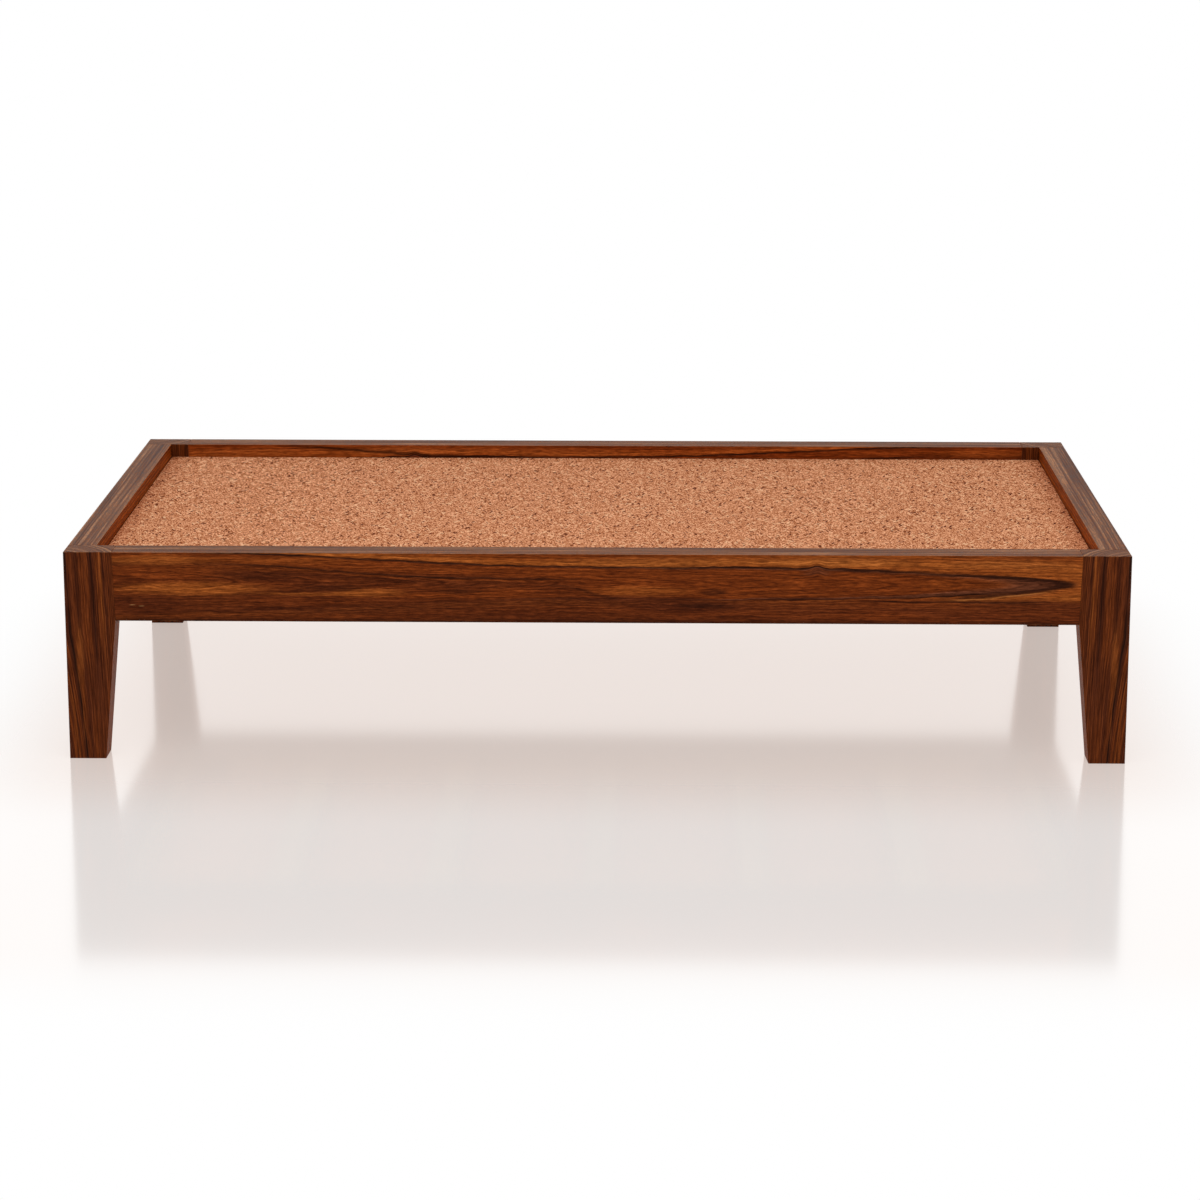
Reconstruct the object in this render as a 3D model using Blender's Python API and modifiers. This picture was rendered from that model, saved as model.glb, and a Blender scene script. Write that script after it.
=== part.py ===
"""Wooden single bed: tapered legs, bolted side rails, tenoned end rails and a loose chipboard deck.

Metres, +Z up. X runs along the bed's length and Y across it, with the front side at -Y.
The origin is on the floor, under the middle of the bed.
"""

import math

import bmesh
import bpy
from mathutils import Matrix, Vector

# Overall size
LENGTH = 2.030
WIDTH = 1.035
HEIGHT = 0.410

# Rails and legs, all planed from one thickness of stock
STOCK = 0.055
RAIL_HEIGHT = 0.135
LEG_TOP_WIDTH = 0.092
LEG_KNEE_WIDTH = 0.096
LEG_FOOT_WIDTH = 0.070
EDGE_EASE = 0.0007

# Clearance left between pieces that touch
GAP = 0.0003

# Deck board, lying loose below the top of the rails
DECK_RECESS = 0.028
DECK_THICKNESS = 0.018
DECK_PLAY = 0.002

# Ledgers along the rails, and the cross battens let into them
LEDGER_WIDTH = 0.030
LEDGER_HEIGHT = 0.045
BATTEN_COUNT = 5
BATTEN_WIDTH = 0.060
BATTEN_HEIGHT = 0.040
BATTEN_LAP = 0.020

# Tenons of the end rails
TENON_THICKNESS = 0.018
TENON_LENGTH = 0.035
TENON_SHOULDER = 0.020

# Dowels and bolts that join a side rail to a leg
DOWEL_RADIUS = 0.005
DOWEL_LENGTH = 0.060
DOWEL_CHAMFER = 0.0012
DOWEL_FROM_RAIL_EDGE = 0.0255
BOLT_RADIUS = 0.004
BOLT_IN_LEG = 0.042
BOLT_TIP = 0.008
BOLT_PAST_NUT = 0.004
BOLT_CHAMFER = 0.001
POCKET_RADIUS = 0.0175
POCKET_FROM_RAIL_END = 0.030
WASHER_THICKNESS = 0.007
WASHER_HEIGHT = 0.022
NUT_ACROSS_FLATS = 0.013
NUT_THICKNESS = 0.0065
POCKET_FLOOR_PLAY = 0.0015
SPANNER_ROOM = 0.012

# Countersunk wood screws
SCREW_RADIUS = 0.0025
SCREW_HEAD_RADIUS = 0.0048
SCREW_HEAD_LIP = 0.0006
SCREW_HEAD_CONE = 0.0026
SCREW_TIP = 0.007
LEDGER_SCREW_LENGTH = 0.060
BATTEN_SCREW_LENGTH = 0.040
END_LEDGER_SCREW_COUNT = 2

# Facets of round pieces and of the holes that take them
ROUND_SIDES = 12
POCKET_SIDES = 32
WASHER_ARC_STEPS = 12
EASE_SEGMENTS = 2
CUT_OVERRUN = 0.004

# Heights and widths that follow from the sizes above
KNEE_HEIGHT = HEIGHT - RAIL_HEIGHT
RAIL_MIDDLE = HEIGHT - RAIL_HEIGHT / 2
INNER_LENGTH = LENGTH - 2 * STOCK
INNER_WIDTH = WIDTH - 2 * STOCK
DECK_TOP = HEIGHT - DECK_RECESS
DECK_BOTTOM = DECK_TOP - DECK_THICKNESS
SUPPORT_TOP = DECK_BOTTOM - GAP
RAIL_LINE = (WIDTH - STOCK) / 2
END_LINE = (LENGTH - STOCK) / 2
LEG_WIDTH_AT_BOLT = (LEG_TOP_WIDTH + LEG_KNEE_WIDTH) / 2
SEAM = LENGTH / 2 - LEG_WIDTH_AT_BOLT
POCKET_CENTRE = SEAM - POCKET_FROM_RAIL_END - POCKET_RADIUS
POCKET_DEPTH = STOCK / 2 + WASHER_HEIGHT / 2 + POCKET_FLOOR_PLAY
WASHER_RADIUS = POCKET_RADIUS * math.cos(math.pi / POCKET_SIDES) - GAP
NUT_SEAT = WASHER_RADIUS - WASHER_THICKNESS - GAP
SIDE_LEDGER_LENGTH = 2 * (POCKET_CENTRE - POCKET_RADIUS - SPANNER_ROOM)
LEDGER_MIDDLE = SUPPORT_TOP - LEDGER_HEIGHT / 2
LEDGER_FACE = INNER_WIDTH / 2 - GAP - LEDGER_WIDTH
END_LEDGER_FACE = INNER_LENGTH / 2 - GAP - LEDGER_WIDTH
BATTEN_PITCH = INNER_LENGTH / (BATTEN_COUNT + 1)

CORNERS = {
    "front_left": (-1, -1),
    "front_right": (1, -1),
    "rear_left": (-1, 1),
    "rear_right": (1, 1),
}
SIDES = {"front": -1, "rear": 1}
ENDS = {"left": -1, "right": 1}

# Rotations that stand a flat outline up, as seen from the front or from the back
FACING_FRONT = (math.pi / 2, 0.0, 0.0)
FACING_BACK = (math.pi / 2, 0.0, math.pi)


def clear_scene():
    for old in list(bpy.data.objects):
        bpy.data.objects.remove(old)


def new_collection(name):
    made = bpy.data.collections.new(name)
    bpy.context.scene.collection.children.link(made)
    return made


def principled(name, colour, roughness, metallic=0.0):
    """A plain surface of one colour, given as linear red, green and blue."""
    made = bpy.data.materials.new(name)
    made.use_nodes = True
    shader = made.node_tree.nodes["Principled BSDF"]
    shader.inputs["Base Color"].default_value = (*colour, 1.0)
    shader.inputs["Roughness"].default_value = roughness
    shader.inputs["Metallic"].default_value = metallic
    made.diffuse_color = (*colour, 1.0)
    return made


def place(obj, location, rotation=(0.0, 0.0, 0.0), material=None):
    """Puts a piece of the bed where it belongs, under the bed's own empty."""
    obj.parent = bed_origin
    obj.location = location
    obj.rotation_euler = rotation
    if material:
        obj.data.materials.append(material)
    return obj


def as_helper(obj):
    """Marks a shape that only cuts or joins others."""
    parts.objects.unlink(obj)
    helpers.objects.link(obj)
    obj.hide_render = True
    obj.display_type = "WIRE"
    return obj


def mesh_object(name, work):
    mesh = bpy.data.meshes.new(name)
    work.to_mesh(mesh)
    work.free()
    obj = bpy.data.objects.new(name, mesh)
    parts.objects.link(obj)
    return obj


def block(name, size):
    """A rectangular block centred on its own origin."""
    work = bmesh.new()
    bmesh.ops.create_cube(work, size=1.0, matrix=Matrix.Diagonal((*size, 1.0)))
    return mesh_object(name, work)


def board(name, outline, thickness):
    """A board with that outline in its own XY plane, half its thickness on each side of the plane."""
    curve = bpy.data.curves.new(name + "_outline", "CURVE")
    curve.dimensions = "2D"
    curve.fill_mode = "BOTH"
    curve.extrude = thickness / 2
    spline = curve.splines.new("POLY")
    spline.points.add(len(outline) - 1)
    for point, (x, y) in zip(spline.points, outline):
        point.co = (x, y, 0.0, 1.0)
    spline.use_cyclic_u = True
    drawn = bpy.data.objects.new(name + "_outline", curve)
    parts.objects.link(drawn)
    bpy.context.view_layer.update()
    graph = bpy.context.evaluated_depsgraph_get()
    solid = bpy.data.meshes.new_from_object(drawn.evaluated_get(graph))
    bpy.data.objects.remove(drawn)
    work = bmesh.new()
    work.from_mesh(solid)
    bpy.data.meshes.remove(solid)
    bmesh.ops.remove_doubles(work, verts=work.verts, dist=GAP / 10)
    bmesh.ops.dissolve_limit(work, angle_limit=math.radians(1), verts=work.verts, edges=work.edges)
    bmesh.ops.recalc_face_normals(work, faces=work.faces)
    return mesh_object(name, work)


def ease_edges(obj):
    """Rounds the sharp edges a little, as sandpaper leaves them."""
    modifier = obj.modifiers.new("eased_edges", "BEVEL")
    modifier.width = EDGE_EASE
    modifier.segments = EASE_SEGMENTS
    modifier.limit_method = "ANGLE"
    modifier.angle_limit = math.radians(30)


def turned(name, profile):
    """A round piece about its own Z axis, from (radius, height) points that run from top to bottom."""
    mesh = bpy.data.meshes.new(name)
    points = [(radius, 0.0, height) for radius, height in profile]
    mesh.from_pydata(points, [(i, i + 1) for i in range(len(points) - 1)], [])
    obj = bpy.data.objects.new(name, mesh)
    parts.objects.link(obj)
    lathe = obj.modifiers.new("lathe", "SCREW")
    lathe.steps = ROUND_SIDES
    lathe.render_steps = ROUND_SIDES
    lathe.use_merge_vertices = True
    lathe.merge_threshold = GAP / 10
    lathe.use_smooth_shade = True
    return obj


def pointing(direction):
    """The rotation that turns a piece's own +Z to that direction."""
    return Vector(direction).to_track_quat("Z", "Y").to_euler()


def hole_radius(radius, sides=ROUND_SIDES):
    """Radius of a faceted hole whose flats clear a pin of that radius by the gap."""
    return (radius + GAP) / math.cos(math.pi / sides)


def drill(name, radius, start, end, sides=ROUND_SIDES):
    """A cutter for a round hole from one point to another."""
    start, end = Vector(start), Vector(end)
    work = bmesh.new()
    bmesh.ops.create_cone(
        work,
        cap_ends=True,
        segments=sides,
        radius1=radius,
        radius2=radius,
        depth=(end - start).length,
    )
    return as_helper(place(mesh_object(name, work), (start + end) / 2, pointing(end - start)))


def boolean(piece, operation, other):
    modifier = piece.modifiers.new(f"{operation.lower()}_{other.name}", "BOOLEAN")
    modifier.operation = operation
    modifier.object = other


def cut(cutter, *pieces):
    for piece in pieces:
        boolean(piece, "DIFFERENCE", cutter)


def spread(count, pitch):
    """That many positions about zero, a pitch apart."""
    return [(i - (count - 1) / 2) * pitch for i in range(count)]


def make_leg(corner):
    """A leg as seen from the front: straight outside, widest at the knee, narrow at the foot."""
    along, across = CORNERS[corner]
    outline = [
        (0.0, 0.0),
        (-along * LEG_FOOT_WIDTH, 0.0),
        (-along * LEG_KNEE_WIDTH, KNEE_HEIGHT),
        (-along * LEG_TOP_WIDTH, HEIGHT),
        (0.0, HEIGHT),
    ]
    leg = board(f"leg_{corner}", outline, STOCK)
    ease_edges(leg)
    return place(leg, (along * LENGTH / 2, across * RAIL_LINE, 0.0), FACING_FRONT, rosewood)


def make_side_rail(side):
    """A long rail whose ends are cut to the slight slope of the legs above the knee."""
    half_top = LENGTH / 2 - LEG_TOP_WIDTH - GAP
    half_bottom = LENGTH / 2 - LEG_KNEE_WIDTH - GAP
    outline = [
        (-half_bottom, -RAIL_HEIGHT / 2),
        (half_bottom, -RAIL_HEIGHT / 2),
        (half_top, RAIL_HEIGHT / 2),
        (-half_top, RAIL_HEIGHT / 2),
    ]
    rail = board(f"side_rail_{side}", outline, STOCK)
    ease_edges(rail)
    return place(rail, (0.0, SIDES[side] * RAIL_LINE, RAIL_MIDDLE), FACING_FRONT, rosewood)


def make_end_rail(end):
    """A short rail between two legs, with a tenon at each end."""
    rail = block(f"end_rail_{end}", (STOCK, INNER_WIDTH - 2 * GAP, RAIL_HEIGHT))
    ease_edges(rail)
    centre = (ENDS[end] * END_LINE, 0.0, RAIL_MIDDLE)
    tenon_height = RAIL_HEIGHT - 2 * TENON_SHOULDER
    tenon_size = (TENON_THICKNESS, INNER_WIDTH + 2 * TENON_LENGTH, tenon_height)
    tenons = as_helper(place(block(f"tenons_{end}", tenon_size), centre))
    boolean(rail, "UNION", tenons)
    return place(rail, centre, material=rosewood)


def mortise_legs(end, legs):
    """Cuts the pockets for an end rail's tenons into the two legs at that end."""
    size = (
        TENON_THICKNESS + 2 * GAP,
        INNER_WIDTH + 2 * (TENON_LENGTH + GAP),
        RAIL_HEIGHT - 2 * TENON_SHOULDER + 2 * GAP,
    )
    mortise = block(f"mortises_{end}", size)
    cut(as_helper(place(mortise, (ENDS[end] * END_LINE, 0.0, RAIL_MIDDLE))), *legs)


def dowel_profile():
    half = DOWEL_LENGTH / 2
    return [
        (0.0, half),
        (DOWEL_RADIUS - DOWEL_CHAMFER, half),
        (DOWEL_RADIUS, half - DOWEL_CHAMFER),
        (DOWEL_RADIUS, DOWEL_CHAMFER - half),
        (DOWEL_RADIUS - DOWEL_CHAMFER, -half),
        (0.0, -half),
    ]


def make_dowels(corner, leg, rail):
    """Two dowels that line a side rail up with a leg, half in each."""
    along, across = CORNERS[corner]
    heights = {"lower": KNEE_HEIGHT + DOWEL_FROM_RAIL_EDGE, "upper": HEIGHT - DOWEL_FROM_RAIL_EDGE}
    for level, height in heights.items():
        centre = Vector((along * SEAM, across * RAIL_LINE, height))
        dowel = turned(f"rail_dowel_{corner}_{level}", dowel_profile())
        place(dowel, centre, pointing((along, 0.0, 0.0)), beech)
        reach = Vector((DOWEL_LENGTH / 2 + GAP, 0.0, 0.0))
        name = f"dowel_bore_{corner}_{level}"
        bore = drill(name, hole_radius(DOWEL_RADIUS), centre - reach, centre + reach)
        cut(bore, leg, rail)


def washer_outline():
    """A half-moon, from the flat that takes the nut to the arc that fits the pocket's wall."""
    reach = math.acos(1 - WASHER_THICKNESS / WASHER_RADIUS)
    angles = [reach * (2 * i / WASHER_ARC_STEPS - 1) for i in range(WASHER_ARC_STEPS + 1)]
    return [(WASHER_RADIUS * math.cos(angle), WASHER_RADIUS * math.sin(angle)) for angle in angles]


def make_bolt_joint(corner, leg, rail):
    """A bolt from the leg into a round pocket in the rail, with a half-moon washer and a nut."""
    along, across = CORNERS[corner]
    outward = (along, 0.0, 0.0)
    middle = Vector((along * POCKET_CENTRE, across * RAIL_LINE, RAIL_MIDDLE))

    def on_axis(distance):
        """A point on the bolt's axis, that far from the pocket's centre towards the leg."""
        return middle + Vector(outward) * distance

    tip = SEAM - POCKET_CENTRE + BOLT_IN_LEG
    tail = NUT_SEAT - NUT_THICKNESS - BOLT_PAST_NUT
    bolt = turned(
        f"rail_bolt_{corner}",
        [
            (0.0, tip),
            (BOLT_RADIUS, tip - BOLT_TIP),
            (BOLT_RADIUS, tail + BOLT_CHAMFER),
            (BOLT_RADIUS - BOLT_CHAMFER, tail),
            (0.0, tail),
        ],
    )
    place(bolt, middle, pointing(outward), zinc_steel)

    bore = drill(f"bolt_bore_{corner}", hole_radius(BOLT_RADIUS), on_axis(tail), on_axis(tip + GAP))
    mouth = across * (WIDTH / 2 - STOCK - CUT_OVERRUN)
    floor = across * (WIDTH / 2 - STOCK + POCKET_DEPTH)
    pocket = drill(
        f"bolt_pocket_{corner}",
        POCKET_RADIUS,
        (middle.x, mouth, middle.z),
        (middle.x, floor, middle.z),
        POCKET_SIDES,
    )
    cut(bore, leg, rail)
    cut(pocket, rail)

    washer = board(f"half_moon_washer_{corner}", washer_outline(), WASHER_HEIGHT)
    place(washer, middle, FACING_FRONT if along > 0 else FACING_BACK, zinc_steel)
    cut(bore, washer)

    work = bmesh.new()
    corner_radius = NUT_ACROSS_FLATS / math.sqrt(3)
    bmesh.ops.create_cone(
        work, cap_ends=True, segments=6, radius1=corner_radius, radius2=corner_radius, depth=NUT_THICKNESS
    )
    nut = mesh_object(f"rail_nut_{corner}", work)
    place(nut, on_axis(NUT_SEAT - NUT_THICKNESS / 2), pointing(outward), zinc_steel)
    cut(drill(f"nut_bore_{corner}", hole_radius(BOLT_RADIUS), on_axis(tail - CUT_OVERRUN), on_axis(tip)), nut)


def screw_profile(length, clearance=0.0, rise=0.0):
    """A countersunk screw with its head's top at zero, or the hole for one, which starts above that."""
    head = SCREW_HEAD_RADIUS + clearance
    shank = SCREW_RADIUS + clearance
    neck = -SCREW_HEAD_LIP - SCREW_HEAD_CONE
    return [
        (0.0, rise),
        (head, rise),
        (head, -SCREW_HEAD_LIP),
        (shank, neck),
        (shank, SCREW_TIP - length),
        (0.0, -length - clearance),
    ]


def make_screw(name, length, head_at, outward, pieces):
    """A screw driven in against the outward direction, and its hole in each piece that it passes."""
    place(turned(name, screw_profile(length)), head_at, pointing(outward), zinc_steel)
    clearance = hole_radius(SCREW_RADIUS) - SCREW_RADIUS
    hole = turned(f"{name}_hole", screw_profile(length, clearance, CUT_OVERRUN))
    cut(as_helper(place(hole, head_at, pointing(outward))), *pieces)


def make_side_ledger(side, rail):
    """A strip notched from above for the batten ends, and screwed to a side rail between them."""
    half = SIDE_LEDGER_LENGTH / 2
    top = LEDGER_HEIGHT / 2
    notch_floor = top - BATTEN_LAP - GAP
    notch_half = BATTEN_WIDTH / 2 + GAP
    outline = [(half, top), (half, -top), (-half, -top), (-half, top)]
    for x in spread(BATTEN_COUNT, BATTEN_PITCH):
        outline += [
            (x - notch_half, top),
            (x - notch_half, notch_floor),
            (x + notch_half, notch_floor),
            (x + notch_half, top),
        ]
    ledger = board(f"side_ledger_{side}", outline, LEDGER_WIDTH)
    outward = SIDES[side]
    place(ledger, (0.0, outward * (LEDGER_FACE + LEDGER_WIDTH / 2), LEDGER_MIDDLE), FACING_FRONT, batten_wood)
    for number, x in enumerate(spread(BATTEN_COUNT - 1, BATTEN_PITCH), 1):
        head_at = (x, outward * LEDGER_FACE, LEDGER_MIDDLE)
        name = f"side_ledger_screw_{side}_{number}"
        make_screw(name, LEDGER_SCREW_LENGTH, head_at, (0.0, -outward, 0.0), (ledger, rail))
    return ledger


def make_end_ledger(end, rail):
    """A strip screwed along an end rail, level with the battens, under the end of the deck."""
    outward = ENDS[end]
    ledger = block(f"end_ledger_{end}", (LEDGER_WIDTH, INNER_WIDTH - 2 * DECK_PLAY, LEDGER_HEIGHT))
    place(ledger, (outward * (END_LEDGER_FACE + LEDGER_WIDTH / 2), 0.0, LEDGER_MIDDLE), material=batten_wood)
    for number, y in enumerate(spread(END_LEDGER_SCREW_COUNT, INNER_WIDTH / END_LEDGER_SCREW_COUNT), 1):
        head_at = (outward * END_LEDGER_FACE, y, LEDGER_MIDDLE)
        name = f"end_ledger_screw_{end}_{number}"
        make_screw(name, LEDGER_SCREW_LENGTH, head_at, (-outward, 0.0, 0.0), (ledger, rail))


def make_lap_cutter(side):
    """A bar that takes the lower half off the batten ends on one side, where they lie on the ledger."""
    shoulder = LEDGER_FACE - GAP
    outer = INNER_WIDTH / 2 + CUT_OVERRUN
    floor = -BATTEN_HEIGHT - CUT_OVERRUN
    bar = block(f"batten_lap_{side}", (SIDE_LEDGER_LENGTH, outer - shoulder, -BATTEN_LAP - floor))
    middle = (0.0, SIDES[side] * (shoulder + outer) / 2, SUPPORT_TOP + (floor - BATTEN_LAP) / 2)
    return as_helper(place(bar, middle))


def make_batten(number, x, ledgers, lap_cutters):
    """A cross batten with half-lapped ends that drop into the notches of the side ledgers."""
    batten = block(f"cross_batten_{number}", (BATTEN_WIDTH, INNER_WIDTH - 2 * GAP, BATTEN_HEIGHT))
    place(batten, (x, 0.0, SUPPORT_TOP - BATTEN_HEIGHT / 2), material=batten_wood)
    for side, ledger in ledgers.items():
        cut(lap_cutters[side], batten)
        y = SIDES[side] * (LEDGER_FACE + LEDGER_WIDTH / 2)
        name = f"batten_screw_{number}_{side}"
        make_screw(name, BATTEN_SCREW_LENGTH, (x, y, SUPPORT_TOP), (0.0, 0.0, 1.0), (batten, ledger))


def make_deck():
    size = (INNER_LENGTH - 2 * DECK_PLAY, INNER_WIDTH - 2 * DECK_PLAY, DECK_THICKNESS)
    place(block("deck_panel", size), (0.0, 0.0, DECK_BOTTOM + DECK_THICKNESS / 2), material=chipboard)


def make_bed():
    legs = {corner: make_leg(corner) for corner in CORNERS}
    side_rails = {side: make_side_rail(side) for side in SIDES}
    end_rails = {end: make_end_rail(end) for end in ENDS}
    for end in ENDS:
        mortise_legs(end, [legs[f"{side}_{end}"] for side in SIDES])
    for corner in CORNERS:
        rail = side_rails[corner.split("_")[0]]
        make_dowels(corner, legs[corner], rail)
        make_bolt_joint(corner, legs[corner], rail)
    ledgers = {side: make_side_ledger(side, side_rails[side]) for side in SIDES}
    for end in ENDS:
        make_end_ledger(end, end_rails[end])
    lap_cutters = {side: make_lap_cutter(side) for side in SIDES}
    for number, x in enumerate(spread(BATTEN_COUNT, BATTEN_PITCH), 1):
        make_batten(number, x, ledgers, lap_cutters)
    make_deck()


clear_scene()
parts = new_collection("wooden_single_bed")
helpers = new_collection("wooden_single_bed_cutters")
bed_origin = bpy.data.objects.new("bed_origin", None)
parts.objects.link(bed_origin)

rosewood = principled("rosewood", (0.13, 0.045, 0.015), 0.38)
batten_wood = principled("batten_wood", (0.40, 0.25, 0.13), 0.70)
chipboard = principled("chipboard", (0.58, 0.26, 0.12), 0.75)
beech = principled("beech", (0.56, 0.36, 0.20), 0.65)
zinc_steel = principled("zinc_steel", (0.55, 0.56, 0.58), 0.35, 1.0)

make_bed()
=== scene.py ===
"""Looks of the wooden single bed: lacquered sheesham boards, a bare chipboard deck and a hidden carcass."""

import math

import bpy
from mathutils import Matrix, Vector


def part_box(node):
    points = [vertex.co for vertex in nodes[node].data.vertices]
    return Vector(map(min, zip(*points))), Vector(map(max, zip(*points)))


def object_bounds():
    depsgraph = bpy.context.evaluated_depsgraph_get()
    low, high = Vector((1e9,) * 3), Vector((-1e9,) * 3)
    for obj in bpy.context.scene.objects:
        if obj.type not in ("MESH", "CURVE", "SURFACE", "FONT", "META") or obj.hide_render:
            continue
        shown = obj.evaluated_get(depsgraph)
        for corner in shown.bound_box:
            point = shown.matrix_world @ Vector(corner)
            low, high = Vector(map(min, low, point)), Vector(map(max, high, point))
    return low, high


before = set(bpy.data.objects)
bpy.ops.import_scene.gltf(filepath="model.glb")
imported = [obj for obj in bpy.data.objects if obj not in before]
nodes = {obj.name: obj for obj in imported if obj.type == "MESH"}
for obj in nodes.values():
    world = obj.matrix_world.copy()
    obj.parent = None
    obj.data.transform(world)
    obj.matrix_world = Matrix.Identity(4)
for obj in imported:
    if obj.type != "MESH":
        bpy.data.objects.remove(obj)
cad_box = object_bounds()

# The outer end and side of the bed, from which the figure of the legs and end rails is measured
LENGTH_END = cad_box[1][0]
WIDTH_END = cad_box[1][1]

# Axes by number
X = 0
Z = 2

# Sides and ends of the bed, and the sign of the way along X that the inner faces at each end look
SIDES = ("front", "rear")
ENDS = ("left", "right")
INWARD = {"left": 1.0, "right": -1.0}

# How square to an axis a face has to be to count as looking along it, from not at all to fully
FACING_FROM = 0.6
FACING_FULL = 0.9

# The middle of a noise or a random number, and the levels at which a variation reaches its two ends
MIDDLE = 0.5
NOISE_LOW = 0.34
NOISE_HIGH = 0.66

# How many layers a noise has, and how much the finer ones count
FEW_LAYERS = 1.0
SOME_LAYERS = 2.0
MANY_LAYERS = 3.0
EVEN = 0.5
ROUGH = 0.6
ROUGHER = 0.65
ROUGHEST = 0.7

# The sockets of a colour mix, among those of its other kinds
MIX_FACTOR = 0
MIX_FIRST = 6
MIX_SECOND = 7
MIX_RESULT = 2

# The fourth number of a colour
OPAQUE = 1.0


class Surface:
    """The node tree of one material. A value is a number, a tuple or the output of another node."""

    def __init__(self, name):
        self.material = bpy.data.materials.new(name)
        self.material.use_nodes = True
        self.tree = self.material.node_tree
        self.shader = self.tree.nodes["Principled BSDF"]

    def add(self, kind, values=None, **settings):
        """Adds a node with its settings, and feeds its inputs."""
        made = self.tree.nodes.new(kind)
        for key, value in settings.items():
            setattr(made, key, value)
        for key, value in (values or {}).items():
            self.feed(made.inputs[key], value)
        return made

    def feed(self, socket, value):
        """Links a socket to an output, or sets it to a number, tuple or colour."""
        if isinstance(value, bpy.types.NodeSocket):
            self.tree.links.new(value, socket)
        elif isinstance(value, tuple) and socket.type == "RGBA":
            socket.default_value = (*value, OPAQUE)
        else:
            socket.default_value = value

    def finish(self, **values):
        """Sets the shader's own inputs, named in lower case with underscores."""
        for key, value in values.items():
            self.feed(self.shader.inputs[key.replace("_", " ").title().replace("Ior", "IOR")], value)
        return self.material

    def math(self, operation, a, b=0.0):
        """One step of arithmetic."""
        return self.add("ShaderNodeMath", {0: a, 1: b}, operation=operation).outputs[0]

    def plus(self, a, b):
        return self.math("ADD", a, b)

    def times(self, a, b):
        return self.math("MULTIPLY", a, b)

    def remap(self, value, low, high, to_low=0.0, to_high=1.0, smooth=False):
        """Maps low..high to to_low..to_high and holds the ends."""
        kind = "SMOOTHSTEP" if smooth else "LINEAR"
        values = {"Value": value, "From Min": low, "From Max": high, "To Min": to_low, "To Max": to_high}
        return self.add("ShaderNodeMapRange", values, interpolation_type=kind).outputs["Result"]

    def place(self):
        """The point on the object, in metres, in the bed's frame."""
        return self.add("ShaderNodeTexCoord").outputs["Object"]

    def axes(self, vector):
        """The three numbers of a vector."""
        return self.add("ShaderNodeSeparateXYZ", {0: vector}).outputs[:]

    def vector(self, x, y, z):
        """The vector of three numbers."""
        return self.add("ShaderNodeCombineXYZ", {0: x, 1: y, 2: z}).outputs[0]

    def facing(self, axis, sign=1.0):
        """1 on faces that look along an axis, or against it for a sign of -1, and 0 on other faces."""
        normal = self.add("ShaderNodeNewGeometry").outputs["Normal"]
        return self.remap(self.times(self.axes(normal)[axis], sign), FACING_FROM, FACING_FULL)

    def noise(self, vector, scale, detail=SOME_LAYERS, roughness=EVEN, output="Fac"):
        """Smooth noise about 0.5. Scale is a number of grains per metre, or one number for each axis."""
        if isinstance(scale, tuple):
            vector = self.tint(vector, scale)
            scale = 1.0
        values = {"Vector": vector, "Scale": scale, "Detail": detail, "Roughness": roughness}
        return self.add("ShaderNodeTexNoise", values).outputs[output]

    def vary(self, noise, depth):
        """A factor about 1 that follows a noise and stays within the depth."""
        return self.remap(noise, NOISE_LOW, NOISE_HIGH, 1.0 - depth, 1.0 + depth)

    def cells(self, vector, scale):
        """A random number for each cell of a crazed plane, and the distance from the cell's middle."""
        vector = self.tint(vector, scale)
        values = {"Vector": vector, "Scale": 1.0}
        made = self.add("ShaderNodeTexVoronoi", values, voronoi_dimensions="2D")
        return self.axes(made.outputs["Color"])[X], made.outputs["Distance"]

    def ramp(self, value, stops):
        """A colour for each value, with the value's range stretched to the ramp's."""
        low, high = stops[0][0], stops[-1][0]
        made = self.add("ShaderNodeValToRGB", {"Fac": self.remap(value, low, high)})
        elements = made.color_ramp.elements
        while len(elements) < len(stops):
            elements.new(1.0)
        for element, (position, colour) in zip(elements, stops):
            element.position = (position - low) / (high - low)
            element.color = (*colour, OPAQUE)
        return made.outputs["Color"]

    def curve(self, value, points):
        """The height of a smooth line through the points, which holds its ends."""
        low, high = points[0][0], points[-1][0]
        made = self.add("ShaderNodeFloatCurve", {"Value": self.remap(value, low, high)})
        line = made.mapping.curves[0].points
        places = [((x - low) / (high - low), y) for x, y in points]
        line[0].location = places[0]
        line[1].location = places[-1]
        for x, y in places[1:-1]:
            line.new(x, y)
        made.mapping.update()
        return made.outputs["Value"]

    def square(self, value):
        return self.times(value, value)

    def reach(self, value, middle, size):
        """The square of the distance from the middle, with 1 at a size away."""
        return self.square(self.math("DIVIDE", self.math("SUBTRACT", value, middle), size))

    def bell(self, value, middle, size):
        """1 at the middle, falling off smoothly to both sides."""
        return self.math("EXPONENT", self.times(self.reach(value, middle, size), -1.0))

    def blot(self, u, v, centre, size):
        """1 in the middle of an oval, and 0 outside it."""
        out = self.plus(self.reach(u, centre[0], size[0]), self.reach(v, centre[1], size[1]))
        return self.math("EXPONENT", self.times(self.square(out), -1.0))

    def mix(self, factor, a, b):
        """A colour between two others."""
        made = self.add("ShaderNodeMix", data_type="RGBA")
        for index, value in ((MIX_FACTOR, factor), (MIX_FIRST, a), (MIX_SECOND, b)):
            self.feed(made.inputs[index], value)
        return made.outputs[MIX_RESULT]

    def blend(self, factor, a, b):
        """A shader between two others."""
        return self.add("ShaderNodeMixShader", {0: factor, 1: a, 2: b}).outputs[0]

    def shade(self, colour, factor):
        """A colour or other vector times a number."""
        return self.add("ShaderNodeVectorMath", {0: colour, "Scale": factor}, operation="SCALE").outputs[0]

    def tint(self, colour, by):
        """A colour or other vector times another one, number by number."""
        return self.add("ShaderNodeVectorMath", {0: colour, 1: by}, operation="MULTIPLY").outputs[0]

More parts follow.
